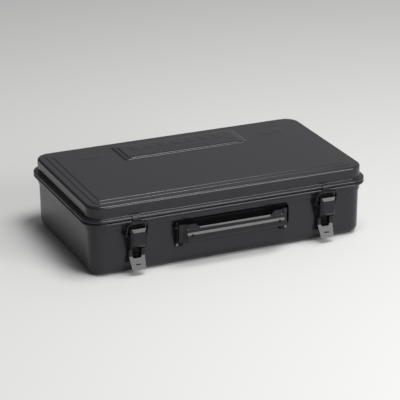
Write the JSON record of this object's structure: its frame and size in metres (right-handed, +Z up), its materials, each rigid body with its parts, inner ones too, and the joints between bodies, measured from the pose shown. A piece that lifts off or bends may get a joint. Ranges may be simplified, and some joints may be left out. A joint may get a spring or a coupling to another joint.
{
  "type": "metal tool box",
  "caption": "Low pressed-steel tool box with a hinged stepped lid, folding front handle and over-centre latches.",
  "frame": {"origin": "middle of the flat base, on the floor", "axes": "+X to the right along the front, +Y from the front to the hinges, +Z up"},
  "size_m": [0.3734, 0.2326, 0.0928],
  "materials": {
    "black_paint": "satin gloss enamel over pressed steel",
    "bare_steel": "zinc-plated rivets and pins"
  },
  "bodies": {
    "box": {"body_pan": "black_paint", "handle_pin_left": "bare_steel", "handle_pin_right": "bare_steel", "handle_plate": "black_paint", "handle_plate_rivet_1": "bare_steel", "handle_plate_rivet_2": "bare_steel", "handle_plate_rivet_3": "bare_steel", "handle_plate_rivet_4": "bare_steel", "hinge_left_body_leaf": "black_paint", "hinge_left_body_rivet_1": "bare_steel", "hinge_left_body_rivet_2": "bare_steel", "hinge_left_pin": "bare_steel", "hinge_right_body_leaf": "black_paint", "hinge_right_body_rivet_1": "bare_steel", "hinge_right_body_rivet_2": "bare_steel", "hinge_right_pin": "bare_steel", "latch_left_base": "black_paint", "latch_left_base_rivet_1": "bare_steel", "latch_left_base_rivet_2": "bare_steel", "latch_left_lever_pin": "bare_steel", "latch_right_base": "black_paint", "latch_right_base_rivet_1": "bare_steel", "latch_right_base_rivet_2": "bare_steel", "latch_right_lever_pin": "bare_steel"},
    "lid": {"hinge_left_lid_leaf": "black_paint", "hinge_left_lid_rivet_1": "bare_steel", "hinge_left_lid_rivet_2": "bare_steel", "hinge_right_lid_leaf": "black_paint", "hinge_right_lid_rivet_1": "bare_steel", "hinge_right_lid_rivet_2": "bare_steel", "latch_left_keeper": "black_paint", "latch_right_keeper": "black_paint", "lid_pan": "black_paint"},
    "handle": {"handle": "black_paint"},
    "latch_left_lever": {"latch_left_lever": "black_paint", "latch_left_stub_inner": "bare_steel", "latch_left_stub_outer": "bare_steel"},
    "latch_left_loop": {"latch_left_loop": "black_paint"},
    "latch_right_lever": {"latch_right_lever": "black_paint", "latch_right_stub_inner": "bare_steel", "latch_right_stub_outer": "bare_steel"},
    "latch_right_loop": {"latch_right_loop": "black_paint"}
  },
  "joints": [
    {"name": "lid_hinge", "type": "hinge", "parent": "box", "child": "lid", "pos_m": [0, 0.1114, 0.07], "axis": [-1, 0, 0], "range_deg": [0, 105]},
    {"name": "handle_fold", "type": "hinge", "parent": "box", "child": "handle", "pos_m": [0, -0.1065, 0.05], "axis": [-1, 0, 0], "range_deg": [0, 55]},
    {"name": "latch_left_release", "type": "hinge", "parent": "box", "child": "latch_left_lever", "pos_m": [-0.125, -0.1093, 0.0574], "axis": [-1, 0, 0], "range_deg": [0, 95]},
    {"name": "latch_left_loop_swing", "type": "hinge", "parent": "latch_left_lever", "child": "latch_left_loop", "pos_m": [-0.125, -0.1063, 0.0502], "axis": [-1, 0, 0], "range_deg": [-95, 0]},
    {"name": "latch_right_release", "type": "hinge", "parent": "box", "child": "latch_right_lever", "pos_m": [0.125, -0.1093, 0.0574], "axis": [-1, 0, 0], "range_deg": [0, 95]},
    {"name": "latch_right_loop_swing", "type": "hinge", "parent": "latch_right_lever", "child": "latch_right_loop", "pos_m": [0.125, -0.1063, 0.0502], "axis": [-1, 0, 0], "range_deg": [-95, 0]}
  ],
  "couplings": [
    {"joint": "latch_left_loop_swing", "follows": "latch_left_release", "ratio": -1},
    {"joint": "latch_right_loop_swing", "follows": "latch_right_release", "ratio": -1}
  ]
}
